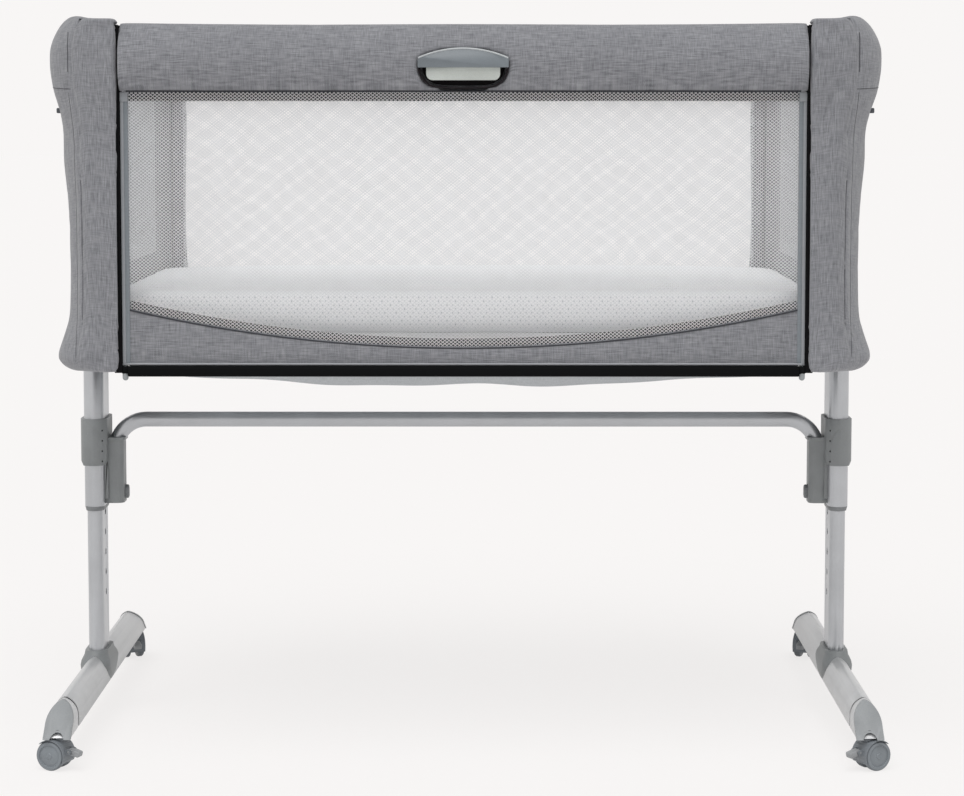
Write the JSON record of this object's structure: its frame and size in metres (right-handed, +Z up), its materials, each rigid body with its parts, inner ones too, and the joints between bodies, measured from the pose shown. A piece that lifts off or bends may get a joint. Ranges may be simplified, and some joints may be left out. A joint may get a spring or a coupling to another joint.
{
  "type": "bedside sleeper crib",
  "caption": "Bedside cot with a padded mesh body on height-adjustable telescoping legs with braked twin-wheel casters, and a drop side with a squeeze latch.",
  "frame": {"origin": "on the floor under the middle of the crib's outer box", "axes": "+X to the right seen from the drop side, along the crib's length; -Y out of the drop side, towards the adult bed; +Z up"},
  "size_m": [0.9602, 0.6345, 0.842],
  "materials": {
    "grey_heather_fabric": "woven heather cloth over foam",
    "light_heather_fabric": "woven heather cloth",
    "mesh_fabric": "knitted mesh",
    "mattress_fabric": "knitted cover",
    "lining_fabric": "plain weave",
    "frame_steel": "satin powder coat",
    "silver_tube": "silver powder coat",
    "foot_metal": "pale silver powder coat",
    "zinc_steel": "zinc plated",
    "board": "fibreboard",
    "black_plastic": "fine grain",
    "pale_plastic": "satin",
    "grey_plastic": "satin",
    "wheel_plastic": "satin",
    "dark_plastic": "satin"
  },
  "bodies": {
    "root": {"top_frame": "frame_steel", "base_frame": "frame_steel", "cover_left": "grey_heather_fabric", "cover_right": "grey_heather_fabric", "cover_rear": "grey_heather_fabric", "rear_mesh": "mesh_fabric", "end_meshes": "mesh_fabric", "base_board": "board", "mattress": "mattress_fabric", "underside_cloth": "lining_fabric", "bottom_rail": "black_plastic", "side_guides": "black_plastic", "track_feet": "grey_plastic", "outer_leg_tube_left": "silver_tube", "outer_leg_tube_right": "silver_tube", "tube_bushings": "black_plastic", "height_bracket_left": "grey_plastic", "height_bracket_right": "grey_plastic", "lock_springs": "zinc_steel", "crossbar": "silver_tube"},
    "drop_side": {"drop_rail_tube": "frame_steel", "drop_rail_cover": "grey_heather_fabric", "front_mesh": "mesh_fabric", "front_band": "light_heather_fabric", "rail_sliders": "black_plastic", "handle_pocket": "black_plastic", "handle_bezel": "grey_plastic"},
    "release_paddle": {"release_paddle": "pale_plastic"},
    "latch_bolt_left": {"latch_bolt_left": "zinc_steel"},
    "latch_bolt_right": {"latch_bolt_right": "zinc_steel"},
    "release_button_left": {"release_button_left": "grey_plastic"},
    "lock_pin_left": {"lock_pin_left": "zinc_steel"},
    "release_button_right": {"release_button_right": "grey_plastic"},
    "lock_pin_right": {"lock_pin_right": "zinc_steel"},
    "leg_left": {"lower_leg_tube_left": "silver_tube", "foot_saddle_left": "grey_plastic", "foot_bar_left": "foot_metal", "foot_collar_left": "black_plastic", "rear_end_cap_left": "grey_plastic"},
    "front_foot_left": {"front_foot_left": "foot_metal", "front_end_cap_left": "grey_plastic"},
    "leg_right": {"lower_leg_tube_right": "silver_tube", "foot_saddle_right": "grey_plastic", "foot_bar_right": "foot_metal", "foot_collar_right": "black_plastic", "rear_end_cap_right": "grey_plastic"},
    "front_foot_right": {"front_foot_right": "foot_metal", "front_end_cap_right": "grey_plastic"},
    "caster_front_left": {"caster_hood_front_left": "dark_plastic"},
    "wheels_front_left": {"caster_wheels_front_left": "wheel_plastic"},
    "brake_front_left": {"brake_pedal_front_left": "dark_plastic"},
    "caster_front_right": {"caster_hood_front_right": "dark_plastic"},
    "wheels_front_right": {"caster_wheels_front_right": "wheel_plastic"},
    "brake_front_right": {"brake_pedal_front_right": "dark_plastic"},
    "caster_rear_left": {"caster_hood_rear_left": "dark_plastic"},
    "wheels_rear_left": {"caster_wheels_rear_left": "wheel_plastic"},
    "brake_rear_left": {"brake_pedal_rear_left": "dark_plastic"},
    "caster_rear_right": {"caster_hood_rear_right": "dark_plastic"},
    "wheels_rear_right": {"caster_wheels_rear_right": "wheel_plastic"},
    "brake_rear_right": {"brake_pedal_rear_right": "dark_plastic"}
  },
  "joints": [
    {"name": "drop_side_slide", "type": "slide", "parent": "root", "child": "drop_side", "axis": [0, 0, -1], "range_m": [0, 0.22], "deforming": ["front_mesh", "front_band"]},
    {"name": "paddle_squeeze", "type": "slide", "parent": "drop_side", "child": "release_paddle", "axis": [0, 0, 1], "range_m": [0, 0.006], "stiffness_N_per_m": 300, "springref_m": -0.008},
    {"name": "latch_bolt_left_slide", "type": "slide", "parent": "drop_side", "child": "latch_bolt_left", "axis": [1, 0, 0], "range_m": [0, 0.008]},
    {"name": "latch_bolt_right_slide", "type": "slide", "parent": "drop_side", "child": "latch_bolt_right", "axis": [-1, 0, 0], "range_m": [0, 0.008]},
    {"name": "release_button_left_press", "type": "slide", "parent": "root", "child": "release_button_left", "axis": [-1, 0, 0], "range_m": [0, 0.0045], "stiffness_N_per_m": 800, "springref_m": -0.004},
    {"name": "lock_pin_left_slide", "type": "slide", "parent": "root", "child": "lock_pin_left", "axis": [1, 0, 0], "range_m": [0, 0.005]},
    {"name": "release_button_right_press", "type": "slide", "parent": "root", "child": "release_button_right", "axis": [1, 0, 0], "range_m": [0, 0.0045], "stiffness_N_per_m": 800, "springref_m": -0.004},
    {"name": "lock_pin_right_slide", "type": "slide", "parent": "root", "child": "lock_pin_right", "axis": [-1, 0, 0], "range_m": [0, 0.005]},
    {"name": "height_left", "type": "slide", "parent": "root", "child": "leg_left", "axis": [0, 0, 1], "range_m": [0, 0.125]},
    {"name": "foot_extend_left", "type": "slide", "parent": "leg_left", "child": "front_foot_left", "axis": [0, -1, 0], "range_m": [0, 0.09]},
    {"name": "height_right", "type": "slide", "parent": "root", "child": "leg_right", "axis": [0, 0, 1], "range_m": [0, 0.125]},
    {"name": "foot_extend_right", "type": "slide", "parent": "leg_right", "child": "front_foot_right", "axis": [0, -1, 0], "range_m": [0, 0.09]},
    {"name": "swivel_front_left", "type": "hinge", "parent": "front_foot_left", "child": "caster_front_left", "pos_m": [-0.4555, -0.3, 0.03], "axis": [0, 0, 1], "continuous": true},
    {"name": "roll_front_left", "type": "hinge", "parent": "caster_front_left", "child": "wheels_front_left", "pos_m": [-0.4602, -0.29829, 0.017], "axis": [-0.342, -0.9397, 0], "continuous": true},
    {"name": "brake_front_left", "type": "hinge", "parent": "caster_front_left", "child": "brake_front_left", "pos_m": [-0.44065, -0.3054, 0.022], "axis": [0.342, 0.9397, 0], "range_deg": [0, 20]},
    {"name": "swivel_front_right", "type": "hinge", "parent": "front_foot_right", "child": "caster_front_right", "pos_m": [0.4555, -0.3, 0.03], "axis": [0, 0, 1], "continuous": true},
    {"name": "roll_front_right", "type": "hinge", "parent": "caster_front_right", "child": "wheels_front_right", "pos_m": [0.45992, -0.29765, 0.017], "axis": [-0.4695, 0.8829, 0], "continuous": true},
    {"name": "brake_front_right", "type": "hinge", "parent": "caster_front_right", "child": "brake_front_right", "pos_m": [0.44155, -0.30742, 0.022], "axis": [0.4695, -0.8829, 0], "range_deg": [0, 20]},
    {"name": "swivel_rear_left", "type": "hinge", "parent": "leg_left", "child": "caster_rear_left", "pos_m": [-0.4555, 0.2917, 0.03], "axis": [0, 0, 1], "continuous": true},
    {"name": "roll_rear_left", "type": "hinge", "parent": "caster_rear_left", "child": "wheels_rear_left", "pos_m": [-0.45737, 0.29634, 0.017], "axis": [-0.9272, -0.3746, 0], "continuous": true},
    {"name": "brake_rear_left", "type": "hinge", "parent": "caster_rear_left", "child": "brake_rear_left", "pos_m": [-0.44958, 0.27705, 0.022], "axis": [0.9272, 0.3746, 0], "range_deg": [0, 20]},
    {"name": "swivel_rear_right", "type": "hinge", "parent": "leg_right", "child": "caster_rear_right", "pos_m": [0.4555, 0.2917, 0.03], "axis": [0, 0, 1], "continuous": true},
    {"name": "roll_rear_right", "type": "hinge", "parent": "caster_rear_right", "child": "wheels_rear_right", "pos_m": [0.45737, 0.29634, 0.017], "axis": [-0.9272, 0.3746, 0], "continuous": true},
    {"name": "brake_rear_right", "type": "hinge", "parent": "caster_rear_right", "child": "brake_rear_right", "pos_m": [0.44958, 0.27705, 0.022], "axis": [0.9272, -0.3746, 0], "range_deg": [0, 20]}
  ],
  "couplings": [
    {"joint": "latch_bolt_left_slide", "follows": "paddle_squeeze", "ratio": 1.3333},
    {"joint": "latch_bolt_right_slide", "follows": "paddle_squeeze", "ratio": 1.3333},
    {"joint": "lock_pin_left_slide", "follows": "release_button_left_press", "ratio": 1.1},
    {"joint": "lock_pin_right_slide", "follows": "release_button_right_press", "ratio": 1.1}
  ]
}
